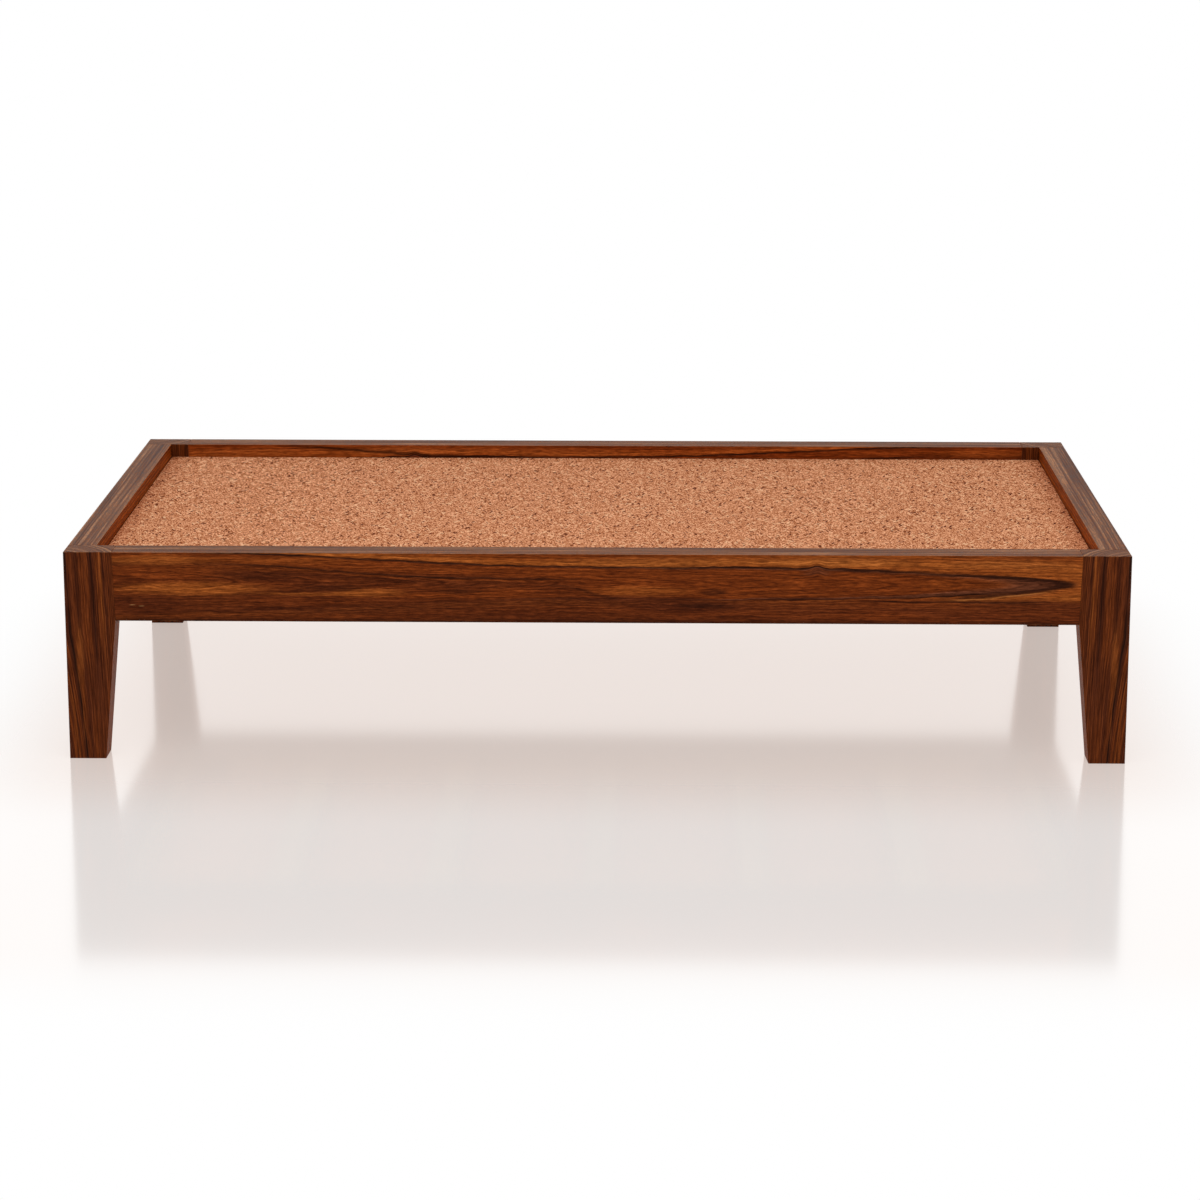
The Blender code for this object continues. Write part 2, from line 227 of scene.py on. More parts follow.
    def bump(self, height, distance, strength):
        """A normal for a relief that is a distance deep, in metres."""
        values = {"Height": height, "Distance": distance, "Strength": strength}
        return self.add("ShaderNodeBump", values).outputs["Normal"]


# Wood

# Colours of the wood, in linear light
BRIGHT = (0.420, 0.1450, 0.0300)
GOLD = (0.255, 0.0660, 0.0095)
HONEY = (0.200, 0.0460, 0.0062)
ORANGE = (0.165, 0.0345, 0.0043)
RUSSET = (0.130, 0.0250, 0.0032)
BROWN = (0.098, 0.0190, 0.0030)
DUSK = (0.080, 0.0160, 0.0029)
UMBER = (0.064, 0.0126, 0.0028)
SMOKE = (0.084, 0.0235, 0.0086)
VEIN = (0.022, 0.0052, 0.0016)
PALE = (0.330, 0.1700, 0.0600)
WORN_AND_HIGHLIT = (0.300, 0.1200, 0.0450)

# Tones of the upper faces, painted paler and greyer for the sheen that they catch, by the level of the
# noise that they follow
SHEEN_TONES = [
    (0.38, (0.065, 0.0187, 0.0075)),
    (0.47, (0.130, 0.0436, 0.0165)),
    (0.54, (0.204, 0.0796, 0.0318)),
    (0.63, (0.362, 0.1650, 0.0750)),
]

# Bands of colour in a side rail, by the place where a growth ring meets the board's middle line, in metres
RAIL_BANDS = [
    (-1.10, UMBER),
    (-0.85, BROWN),
    (-0.60, BROWN),
    (-0.45, DUSK),
    (-0.22, DUSK),
    (-0.10, BROWN),
    (0.05, RUSSET),
    (0.42, RUSSET),
    (0.73, RUSSET),
    (0.79, SMOKE),
    (0.860, SMOKE),
    (0.885, VEIN),
    (0.900, VEIN),
    (0.925, HONEY),
    (1.15, GOLD),
    (1.60, HONEY),
    (2.00, ORANGE),
    (2.40, RUSSET),
    (3.00, BROWN),
]

# Light and dark marks on a side rail: colour, place and half size along and up the rail in metres, strength
RAIL_MARKS = [
    (UMBER, (-0.88, 0.030), (0.100, 0.0200), 0.60),
    (RUSSET, (-0.82, 0.0960), (0.120, 0.0160), 0.80),
    (ORANGE, (-0.52, 0.1040), (0.340, 0.0080), 0.35),
    (RUSSET, (-0.36, 0.1000), (0.110, 0.0080), 0.45),
    (RUSSET, (-0.37, 0.0680), (0.080, 0.0090), 0.40),
    (GOLD, (-0.77, 0.0650), (0.135, 0.0120), 0.85),
    (GOLD, (-0.530, 0.0555), (0.120, 0.0030), 0.60),
    (GOLD, (-0.430, 0.058), (0.065, 0.0080), 0.65),
    (GOLD, (-0.84, 0.120), (0.120, 0.0095), 0.60),
    (HONEY, (-0.60, 0.1190), (0.150, 0.0080), 0.50),
    (VEIN, (-0.64, 0.0890), (0.080, 0.0090), 0.45),
    (VEIN, (-0.51, 0.0690), (0.055, 0.0070), 0.45),
    (VEIN, (-0.26, 0.0605), (0.050, 0.0050), 0.55),
    (UMBER, (-0.07, 0.0600), (0.070, 0.0140), 0.35),
    (GOLD, (0.09, 0.0625), (0.090, 0.0105), 0.50),
    (BRIGHT, (0.10, 0.1200), (0.170, 0.0090), 0.15),
    (BRIGHT, (0.45, 0.1200), (0.150, 0.0080), 0.20),
    (BRIGHT, (0.80, 0.1180), (0.130, 0.0090), 0.15),
    (ORANGE, (0.78, 0.1030), (0.160, 0.0080), 0.45),
    (HONEY, (0.66, 0.1035), (0.110, 0.0055), 0.80),
    (RUSSET, (0.53, 0.0180), (0.080, 0.0100), 0.50),
    (ORANGE, (0.70, 0.0790), (0.085, 0.0130), 0.75),
    (BROWN, (0.56, 0.0460), (0.085, 0.0045), 0.75),
    (UMBER, (0.06, 0.0470), (0.130, 0.0075), 0.80),
    (UMBER, (0.17, 0.033), (0.115, 0.0130), 0.90),
    (UMBER, (0.85, 0.0350), (0.130, 0.0140), 0.50),
    (VEIN, (0.205, 0.034), (0.060, 0.0060), 0.60),
    (VEIN, (0.225, 0.0620), (0.026, 0.0065), 0.65),
    (SMOKE, (0.42, 0.0985), (0.026, 0.0060), 0.65),
    (VEIN, (0.662, 0.0540), (0.012, 0.0035), 0.60),
    (VEIN, (0.735, 0.0555), (0.065, 0.0048), 0.50),
    (SMOKE, (0.790, 0.0600), (0.060, 0.0060), 0.60),
    (PALE, (-0.885, 0.0325), (0.006, 0.0008), 0.80),
    (PALE, (-0.868, 0.0308), (0.005, 0.0008), 0.80),
]

# Lines that follow the grain of a side rail: colour, strength, half width, and points along and up the rail
RAIL_LINES = [
    (VEIN, 0.85, 0.0018, [
        (-0.80, 0.116), (-0.57, 0.1044), (-0.36, 0.0905), (-0.15, 0.0862), (0.05, 0.085),
    ]),
    (UMBER, 0.60, 0.0016, [
        (-0.75, 0.101), (-0.62, 0.0955), (-0.45, 0.087), (-0.28, 0.080),
    ]),
    (UMBER, 0.60, 0.0050, [
        (-0.76, 0.0990), (-0.66, 0.0905), (-0.56, 0.0770), (-0.45, 0.0650),
    ]),
    (VEIN, 0.90, 0.0026, [
        (0.40, 0.1070), (0.545, 0.1027), (0.666, 0.0960), (0.762, 0.0930), (0.90, 0.0790),
    ]),
    (VEIN, 0.70, 0.0038, [
        (0.655, 0.0490), (0.70, 0.0515), (0.76, 0.0560), (0.82, 0.0630), (0.91, 0.0760),
    ]),
    (BRIGHT, 0.55, 0.0015, [
        (0.655, 0.0465), (0.70, 0.0480), (0.762, 0.0522), (0.826, 0.0600), (0.88, 0.0665),
    ]),
    (VEIN, 0.90, 0.0020, [
        (0.48, 0.0440), (0.58, 0.0445), (0.66, 0.0442), (0.74, 0.0435), (0.88, 0.0425),
    ]),
    (ORANGE, 0.65, 0.0013, [
        (-0.52, 0.0975), (-0.36, 0.0865), (-0.22, 0.0832), (-0.06, 0.0815),
    ]),
    (VEIN, 0.60, 0.0030, [
        (-0.11, 0.0740), (-0.04, 0.0680), (0.00, 0.0560), (0.06, 0.0460),
    ]),
    (VEIN, 0.35, 0.0014, [
        (0.22, 0.0560), (0.36, 0.0600), (0.50, 0.0590), (0.60, 0.0660),
    ]),
]

# A line that only the rear rail has, above the deck
REAR_LINES = [
    (VEIN, 0.85, 0.0040, [
        (0.10, 0.100), (0.39, 0.1110), (0.52, 0.1200), (0.75, 0.1330),
    ]),
]

# The line that the arches of a side rail lie about, up the rail, and the width of its rings along that line
RAIL_MIDDLE = 0.078
RAIL_RING = 0.07

# A knot that the grain of a side rail climbs over: place and half size along and up the rail, and the climb
RAIL_KNOT = (0.42, 0.107)
RAIL_KNOT_SIZE = (0.013, 0.018)
RAIL_KNOT_RISE = 0.006

# Where the arches of a side rail draw together, over what length, and to what share of their height
PINCH_MIDDLE = -0.12
PINCH_LENGTH = 0.45
PINCH_SHARE = 0.70

# The dark vein of a side rail: its ring, two places along the rail and its widths there, the place where
# it starts and that of its full strength, and that strength
VEIN_RING = 0.875
VEIN_TURNS = (-0.3, 0.3)
VEIN_WIDTHS = (0.110, 0.058)
VEIN_STARTS = 0.60
VEIN_FULL = 0.35
VEIN_STRENGTH = 0.97

# The upper edge of the dull lower wood of a side rail, as points along and up the rail, and half its blur
LOWER_EDGE = [
    (-1.0, 0.052),
    (-0.4, 0.050),
    (0.0, 0.046),
    (0.45, 0.047),
    (0.62, 0.0510),
    (0.72, 0.0490),
    (0.93, 0.0455),
]
LOWER_BLUR = 0.006

# The dull wood's strength, its marks per metre along, up and through the rail, and its tones by their noise
LOWER_STRENGTH = 0.9
LOWER_GRAINS = (2.0, 60.0, 60.0)
LOWER_TONES = [(0.3, UMBER), (0.5, DUSK), (0.7, BROWN)]

# The dull wood turns lighter along the rail, between these two places, by this factor
LOWER_TURNS = (-0.1, 0.5)
LOWER_LIGHTER = 1.25

# Painted shade along a side rail's lower arris: the rail darkens below this height, to this share of its
# tone at its lower edge
LOWEST_EDGE = 0.009
LOWEST_PAINTED_SHADE = 0.3

# What the figure's colours are multiplied by in the side rails and in the legs; the rear rail's higher
# factors also paint light onto its inner face, which lies in shade inside the bed. The inner faces of the
# legs and end rails are multiplied further, which paints light onto them: on the legs for the shade under
# the bed, on the end rails for the light that the deck throws up
RAIL_TINTS = {"front": (1.07, 1.03, 1.12), "rear": (1.24, 1.05, 1.12)}
LEG_TINT = (0.92, 0.99, 1.38)
LEG_INNER_PAINTED_LIGHT = (2.10, 2.15, 1.70)
END_INNER_PAINTED_LIGHT = (1.48, 1.28, 0.85)

# Bands of colour in an end rail, by the place of the growth ring, in metres
END_BANDS = [
    (-1.6, RUSSET),
    (-1.35, HONEY),
    (-1.2, BROWN),
    (-1.1, HONEY),
    (-0.85, ORANGE),
    (-0.66, UMBER),
    (-0.60, HONEY),
    (-0.35, ORANGE),
    (-0.26, UMBER),
    (-0.12, HONEY),
    (0.10, ORANGE),
    (0.26, UMBER),
    (0.32, VEIN),
    (0.38, HONEY),
    (0.60, GOLD),
    (0.72, BROWN),
    (0.85, HONEY),
    (1.10, UMBER),
    (1.25, ORANGE),
    (1.5, BROWN),
]

# The line that the arches of an end rail lie about, up the rail, and the width of its rings along that line
END_MIDDLE = 0.05
END_RING = 0.09

# Where each end rail is cut from one long board, so that the two differ
END_CUTS = {"left": 1.7, "right": 3.1}

# Bands of colour in a leg, by the distance from its outer edge at the top of its outer face, in metres
LEG_BANDS = [
    (-0.040, UMBER),
    (-0.034, RUSSET),
    (-0.028, UMBER),
    (-0.022, ORANGE),
    (-0.016, UMBER),
    (-0.011, RUSSET),
    (-0.004, UMBER),
    (0.0005, VEIN),
    (0.0030, VEIN),
    (0.006, BROWN),
    (0.014, BROWN),
    (0.020, UMBER),
    (0.027, BROWN),
    (0.033, RUSSET),
    (0.038, BROWN),
    (0.042, RUSSET),
    (0.047, UMBER),
    (0.0495, UMBER),
    (0.0512, VEIN),
    (0.0530, UMBER),
    (0.0595, BROWN),
    (0.0610, ORANGE),
    (0.0630, BROWN),
    (0.0655, RUSSET),
    (0.0672, HONEY),
    (0.0695, ORANGE),
    (0.0720, UMBER),
    (0.0800, BROWN),
    (0.100, BROWN),
    (0.110, RUSSET),
    (0.120, UMBER),
    (0.130, BROWN),
]

# Marks on a leg: colour, place and half size up the leg and in from its outer edge in metres, strength
LEG_MARKS = [
    (HONEY, (0.205, 0.026), (0.060, 0.0075), 0.75),
    (UMBER, (0.330, 0.008), (0.045, 0.0070), 0.70),
    (UMBER, (0.140, 0.050), (0.075, 0.0120), 0.65),
    (BROWN, (0.050, 0.060), (0.100, 0.0070), 0.70),
    (BROWN, (0.090, 0.074), (0.180, 0.0120), 0.92),
    (UMBER, (0.150, 0.068), (0.080, 0.0140), 0.55),
    (ORANGE, (0.110, 0.030), (0.070, 0.0030), 0.60),
    (ORANGE, (0.060, 0.012), (0.080, 0.0030), 0.60),
]

# The stripes of a leg lean inward below a height: by how much at the outer edge, and how far in that ends
LEG_LEAN_FROM = 0.25
LEG_LEAN = 0.15
LEG_STRAIGHT_FROM = 0.062

# How far the stripes drift inward for each metre down the leg, and outward for each metre into it
LEG_DRIFT = 0.04
LEG_SLANT = 0.55

# The number of waves along a leg, their height, and the fine marks along it, as shares of those in a rail
LEG_STRETCH = 0.9
LEG_WAVES = 0.55
LEG_GRAIN = 0.5

# The width of a leg's rings, in metres
LEG_RING = 0.003

# The heart of the tree, which the end grain of a leg's top curves about: how far it lies outside the end
# and side of the bed, the rings per metre, and their waves per metre and the height of those
HEART_OUT = (0.035, 0.060)
HEART_RINGS = 130.0
HEART_WAVE_GRAINS = 45.0
HEART_WAVE = 0.004

# The arches of a rail, in metres: the rise over which one runs a metre on, and the depth of the tree's heart
ARCH_SPREAD = 0.048
PITH_DEPTH = 0.09

# Waves of the grain: their number per metre along, up and through the board, and their height in metres
GRAIN_WAVES = [
    ((2.0, 12.0, 12.0), 0.008),
    ((9.0, 30.0, 30.0), 0.006),
    ((26.0, 90.0, 90.0), 0.005),
]

# Fine grain: the marks per metre along, up and through the board, and how far each kind changes the tone
STREAK_GRAINS = (9.0, 300.0, 300.0)
STREAK_DEPTH = 0.38
FLECK_GRAINS = (52.0, 440.0, 440.0)
FLECK_DEPTH = 0.42

# Pores: the marks per metre, the levels of the noise between which they grow, and the tone in them
PORE_GRAINS = (150.0, 2200.0, 2200.0)
PORE_LEVELS = (0.60, 0.72)
PORE_SHADE = 0.7

# Growth rings: the marks in a ring's width, and how far they change the tone
GROWTH_MARKS = 1.0
GROWTH_DEPTH = 0.32

# Late wood: the marks in a ring's width, the levels of the noise between which it grows, and the tone in it
LATE_MARKS = 2.3
LATE_LEVELS = (0.55, 0.68)
LATE_SHADE = 0.55

# Streaks of the rails' upper faces: the marks per metre along, up and across, those of their sway and how
# far it goes, and those of the thin lines
UPPER_STREAK_GRAINS = (1.6, 1.0, 115.0)
UPPER_SWAY_GRAINS = (3.0, 1.0, 15.0)
UPPER_SWAY = 0.006
UPPER_LINE_GRAINS = (0.6, 1.0, 240.0)

# Thin lines on the upper faces: the levels of the noise between which they grow, strength, colour
UPPER_LINES = [
    ((0.44, 0.34), 0.85, SHEEN_TONES[0][1]),
    ((0.60, 0.70), 0.45, SHEEN_TONES[-1][1]),
]

# One long edge of an upper face has a painted highlight: how far in from it, by how much, and its place
# across a side rail
ARRIS_HIGHLIGHT_REACH = 0.0035
ARRIS_HIGHLIGHT_STRENGTH = 0.55
FRONT_ARRIS = 0.0

# How far the painted sheen tones of the upper faces cover the figure, and how far flecks change them
SHEEN_STRENGTH = 0.8
SHEEN_FLECKS = 0.45

# Dark grain is redder and pale grain is browner: the powers by which green and blue follow the tone
GREEN_POWER = 1.15
BLUE_POWER = 1.35

# Where the lacquer is rubbed through along the edges, which also paints the highlight that they catch:
# patches per metre, the levels of the noise and the distances from the edge between which they grow, and
# their strength
RUB_GRAINS = 45.0
RUB_LEVELS = (0.42, 0.60)
RUB_EDGE = (0.0018, 0.0004)
RUB_AND_HIGHLIGHT_STRENGTH = 0.32

# The lacquer's roughness at the two ends of its variation, and its specular level
LACQUER_ROUGHNESS = (0.36, 0.50)
LACQUER_LEVEL = 0.03

# Relief of the grain: depth in metres, strength
GRAIN_RELIEF = (0.0004, 0.35)

# The share of a line's length over which each of its ends fades
LINE_TAPER = 0.2


def wavy(surface, u, v, w, share=1.0):
    """The height in the board, shifted by a share of the waves in the grain."""
    board = surface.vector(u, v, w)
    for grains, height in GRAIN_WAVES:
        wave = surface.plus(surface.noise(board, grains), -MIDDLE)
        v = surface.plus(v, surface.times(wave, height * share))
    return v


def edge_distance(surface, node):
    """The distance in metres to the nearest edge of a node's box, on any of its faces."""
    gaps = []
    for axis, low, high in zip(surface.axes(surface.place()), *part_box(node)):
        away = surface.math("ABSOLUTE", surface.plus(axis, -(low + high) / 2))
        gaps.append(surface.math("SUBTRACT", (high - low) / 2, away))
    first, second, third = gaps
    upper = surface.math("MINIMUM", surface.math("MAXIMUM", first, second), third)
    return surface.math("MAXIMUM", surface.math("MINIMUM", first, second), upper)


def arches(surface, u, rise, w):
    """Growth rings of a board sawn beside the heart: long arches about its middle line."""
    through = surface.plus(w, -PITH_DEPTH)
    spread = surface.plus(surface.times(rise, rise), surface.times(through, through))
    return surface.plus(u, surface.times(surface.plus(spread, -PITH_DEPTH ** 2), ARCH_SPREAD ** -2))


def with_marks(surface, colour, u, v, marks):
    """The colour with oval marks over it."""
    for mark_colour, centre, size, strength in marks:
        colour = surface.mix(surface.times(surface.blot(u, v, centre, size), strength), colour, mark_colour)
    return colour


def with_lines(surface, colour, u, v, lines):
    """The colour with lines over it, which fade at both ends."""
    for line_colour, strength, width, points in lines:
        near = surface.bell(v, surface.curve(u, points), width)
        start, stop = points[0][0], points[-1][0]
        taper = LINE_TAPER * (stop - start)
        fade_in = surface.remap(u, start, start + taper, smooth=True)
        fade_out = surface.remap(u, stop, stop - taper, smooth=True)
        near = surface.times(near, surface.times(fade_in, fade_out))
        colour = surface.mix(surface.times(near, strength), colour, line_colour)
    return colour


def sheen_streaks(surface, u, w, arris):
    """The upper face of a rail in painted sheen tones: streaks along it, thin dark and pale lines, and one
    edge with a painted highlight.
    """
    sway = surface.times(surface.noise(surface.vector(u, 0.0, w), UPPER_SWAY_GRAINS), UPPER_SWAY)
    strip = surface.vector(u, 0.0, surface.plus(w, sway))
    colour = surface.ramp(surface.noise(strip, UPPER_STREAK_GRAINS, MANY_LAYERS, ROUGHER), SHEEN_TONES)
    lines = surface.noise(strip, UPPER_LINE_GRAINS, FEW_LAYERS)
    for levels, strength, tone in UPPER_LINES:
        colour = surface.mix(surface.remap(lines, *levels, 0.0, strength), colour, tone)
    # One long edge takes a painted highlight
    pale = surface.times(surface.bell(w, arris, ARRIS_HIGHLIGHT_REACH), ARRIS_HIGHLIGHT_STRENGTH)
    return surface.mix(pale, colour, SHEEN_TONES[-1][1])


def end_grain(surface):
    """The sawn top of a leg, with arcs of growth rings in the painted sheen tones of the upper faces."""
    total = 0.0
    point = surface.place()
    for axis, end, out in zip(surface.axes(point), (LENGTH_END, WIDTH_END), HEART_OUT):
        away = surface.math("SUBTRACT", end + out, surface.math("ABSOLUTE", axis))
        total = surface.plus(total, surface.square(away))
    wave = surface.times(surface.noise(point, HEART_WAVE_GRAINS), HEART_WAVE)
    radius = surface.plus(surface.math("SQRT", total), wave)
    rings = surface.noise(surface.vector(radius, 0.0, 0.0), HEART_RINGS, roughness=ROUGH)
    return surface.ramp(rings, SHEEN_TONES)


def lacquered(surface, node, board, ring, ring_width, colour, top):
    """Finishes a figure with fine grain along its rings, an upper face in painted sheen tones, worn edges
    that also paint a highlight, and a satin lacquer.
    """
    rings = surface.vector(surface.times(ring, 1 / ring_width), 0.0, 0.0)
    growth = surface.noise(rings, GROWTH_MARKS, roughness=ROUGH)
    late = surface.noise(rings, LATE_MARKS, FEW_LAYERS)
    streaks = surface.noise(board, STREAK_GRAINS)
    flecks = surface.noise(board, FLECK_GRAINS, MANY_LAYERS, ROUGH)
    pores = surface.remap(surface.noise(board, PORE_GRAINS, FEW_LAYERS), *PORE_LEVELS)
    tone = surface.remap(late, *LATE_LEVELS, 1.0, LATE_SHADE)
    for noise, depth in ((growth, GROWTH_DEPTH), (streaks, STREAK_DEPTH), (flecks, FLECK_DEPTH)):
        tone = surface.times(tone, surface.vary(noise, depth))
    green = surface.math("POWER", tone, GREEN_POWER)
    blue = surface.math("POWER", tone, BLUE_POWER)
    colour = surface.tint(colour, surface.vector(tone, green, blue))
    # The upper faces take their painted sheen tones
    top = surface.shade(top, surface.vary(flecks, SHEEN_FLECKS))
    colour = surface.mix(surface.times(surface.facing(Z), SHEEN_STRENGTH), colour, top)

    # Rubbed lacquer along the edges, lighter, which also paints the edges' highlight
    rub = surface.remap(surface.noise(board, RUB_GRAINS), *RUB_LEVELS)
    edge = surface.remap(edge_distance(surface, node), *RUB_EDGE)
    colour = surface.mix(surface.times(surface.times(edge, rub), RUB_AND_HIGHLIGHT_STRENGTH), colour, WORN_AND_HIGHLIT)
    colour = surface.shade(colour, surface.remap(pores, 0.0, 1.0, 1.0, PORE_SHADE))
    return surface.finish(
        base_color=colour,
        roughness=surface.remap(flecks, NOISE_LOW, NOISE_HIGH, *LACQUER_ROUGHNESS),
        specular_ior_level=LACQUER_LEVEL,
        normal=surface.bump(surface.math("SUBTRACT", flecks, pores), *GRAIN_RELIEF),
    )


def side_rail_wood(side):
    """A long dark vein that closes in an eye, over dull lower wood. The rear rail mirrors the front one."""
    node = f"side_rail_{side}"
    surface = Surface(f"sheesham_{node}")
    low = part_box(node)[0]
    x, y, z = surface.axes(surface.place())
    u = x if side == "front" else surface.times(x, -1.0)
    v = surface.plus(z, -low.z)
    w = surface.plus(y, -low.y)
    along = surface.bell(u, RAIL_KNOT[0], RAIL_KNOT_SIZE[0])
    up = surface.bell(v, RAIL_KNOT[1], RAIL_KNOT_SIZE[1])
    knot = surface.times(along, up)
    grain = surface.plus(wavy(surface, u, v, w), surface.times(knot, -RAIL_KNOT_RISE))
    pinch = surface.remap(surface.bell(u, PINCH_MIDDLE, PINCH_LENGTH), 0.0, 1.0, 1.0, PINCH_SHARE)
    rise = surface.math("DIVIDE", surface.plus(grain, -RAIL_MIDDLE), pinch)
    ring = arches(surface, u, rise, w)
    colour = surface.ramp(ring, RAIL_BANDS)
    strength = surface.remap(u, VEIN_STARTS, VEIN_FULL, 0.0, VEIN_STRENGTH, smooth=True)
    vein = surface.bell(ring, VEIN_RING, surface.remap(u, *VEIN_TURNS, *VEIN_WIDTHS))
    colour = surface.mix(surface.times(vein, strength), colour, VEIN)

    board = surface.vector(u, grain, w)
    under = surface.math("SUBTRACT", surface.curve(u, LOWER_EDGE), grain)
    lower = surface.remap(under, -LOWER_BLUR, LOWER_BLUR, 0.0, LOWER_STRENGTH, smooth=True)
    dull = surface.ramp(surface.noise(board, LOWER_GRAINS), LOWER_TONES)
    dull = surface.shade(dull, surface.remap(u, *LOWER_TURNS, 1.0, LOWER_LIGHTER))
    colour = surface.mix(lower, colour, dull)
    colour = with_marks(surface, colour, u, grain, RAIL_MARKS)
    lines = RAIL_LINES if side == "front" else RAIL_LINES + REAR_LINES
    colour = with_lines(surface, colour, u, grain, lines)
    # The rear rail's higher tint also paints light onto its shaded inner face
    colour = surface.tint(colour, RAIL_TINTS[side])
    # Painted shade darkens the rail towards its lower arris
    colour = surface.shade(colour, surface.remap(v, 0.0, LOWEST_EDGE, LOWEST_PAINTED_SHADE, 1.0))
    top = sheen_streaks(surface, u, w, FRONT_ARRIS)
    return lacquered(surface, node, board, ring, RAIL_RING, colour, top)


def end_rail_wood(end):
    """Arches of bright and dark rings about a line below the middle of the board."""
    node = f"end_rail_{end}"
    surface = Surface(f"sheesham_{node}")
    x, y, z = surface.axes(surface.place())
    u = surface.plus(y, END_CUTS[end])
    w = surface.math("SUBTRACT", LENGTH_END, surface.math("ABSOLUTE", x))
    grain = wavy(surface, u, surface.plus(z, -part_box(node)[0].z), w)
    ring = arches(surface, y, surface.plus(grain, -END_MIDDLE), w)
    board = surface.vector(u, grain, w)
    colour = surface.ramp(ring, END_BANDS)
    inner = surface.facing(X, INWARD[end])
    # Inner faces painted lighter and more orange, for the light that the deck throws onto them
    colour = surface.mix(inner, colour, surface.tint(colour, END_INNER_PAINTED_LIGHT))
    low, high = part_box(node)
    top = sheen_streaks(surface, u, w, high.x - low.x)
    return lacquered(surface, node, board, ring, END_RING, colour, top)


def leg_wood(side, end):
    """Stripes that run down the leg and lean inward below, mirrored from end to end of the bed."""
    node = f"leg_{side}_{end}"
    surface = Surface(f"sheesham_{node}")
    x, y, z = surface.axes(surface.place())
    v = surface.math("SUBTRACT", LENGTH_END, surface.math("ABSOLUTE", x))
    w = surface.math("SUBTRACT", WIDTH_END, surface.math("ABSOLUTE", y))
    grain = wavy(surface, surface.times(z, LEG_STRETCH), v, w, LEG_WAVES)
    below = surface.math("MAXIMUM", surface.math("SUBTRACT", LEG_LEAN_FROM, z), 0.0)
    lean = surface.times(below, surface.remap(v, 0.0, LEG_STRAIGHT_FROM, -LEG_LEAN, 0.0))
    drift = surface.times(surface.plus(z, -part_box(node)[1].z), LEG_DRIFT)
    ring = surface.plus(surface.plus(grain, lean), surface.plus(drift, surface.times(w, LEG_SLANT)))
    colour = with_marks(surface, surface.ramp(ring, LEG_BANDS), z, grain, LEG_MARKS)
    colour = surface.tint(colour, LEG_TINT)
    inner = surface.facing(X, INWARD[end])
    # Inner faces painted lighter, as painted light on faces that lie in shade under the bed
    colour = surface.mix(inner, colour, surface.tint(colour, LEG_INNER_PAINTED_LIGHT))
    board = surface.vector(surface.times(z, LEG_GRAIN), ring, w)
    return lacquered(surface, node, board, ring, LEG_RING, colour, end_grain(surface))


# Deck

# Colours of the odd chips, and tones of the others by the sum of their layers, in linear light
CHIP_DARK = (0.090, 0.011, 0.001)
CHIP_PALE = (0.85, 0.48, 0.27)
CHIP_TONES = [
    (-0.62, (0.225, 0.049, 0.011)),
    (-0.29, (0.400, 0.133, 0.047)),
    (0.00, (0.538, 0.206, 0.089)),
    (0.29, (0.680, 0.289, 0.143)),
    (0.62, (0.890, 0.440, 0.245)),
]

# Layers of chips: their turn in radians, and how many lie side by side and end to end in a metre
CHIP_LAYERS = [
    (-0.35, (620.0, 250.0, 1.0)),
    (0.05, (680.0, 350.0, 1.0)),
    (0.38, (620.0, 250.0, 1.0)),
]

# Odd chips: colour, turn, number in a metre, share of all cells, and how much of its cell each one fills
ODD_CHIPS = [
    (CHIP_DARK, 0.35, (200.0, 60.0, 1.0), 0.036, 0.40),
    (CHIP_DARK, -0.35, (280.0, 85.0, 1.0), 0.058, 0.40),
    (CHIP_PALE, 0.50, (310.0, 60.0, 1.0), 0.045, 0.42),
    (CHIP_PALE, -0.50, (310.0, 60.0, 1.0), 0.045, 0.42),
]

# How far the edges of the odd chips blur, as a share of a cell
ODD_BLUR = 0.1

# The frayed edges of all chips: how far they stray in metres, and how often in a metre
CHIP_FRAY = 0.0015
CHIP_FRAY_GRAINS = 420.0

# Dust: the grains per metre, and how far they change the tone
DUST_GRAINS = 900.0
DUST_DEPTH = 0.15

# Painted shade along the deck's two ends beside the end rails, reddened for light from the wood: what the
# colours are multiplied by there, and how far in that fades out
ENDS_PAINTED_SHADE = (0.80, 0.67, 0.60)
ENDS_SHADE_REACH = 0.045

# The deck's roughness and specular level, and its relief: depth in metres, strength
CHIP_ROUGHNESS = 0.8
CHIP_LEVEL = 0.03
CHIP_RELIEF = (0.0004, 0.3)


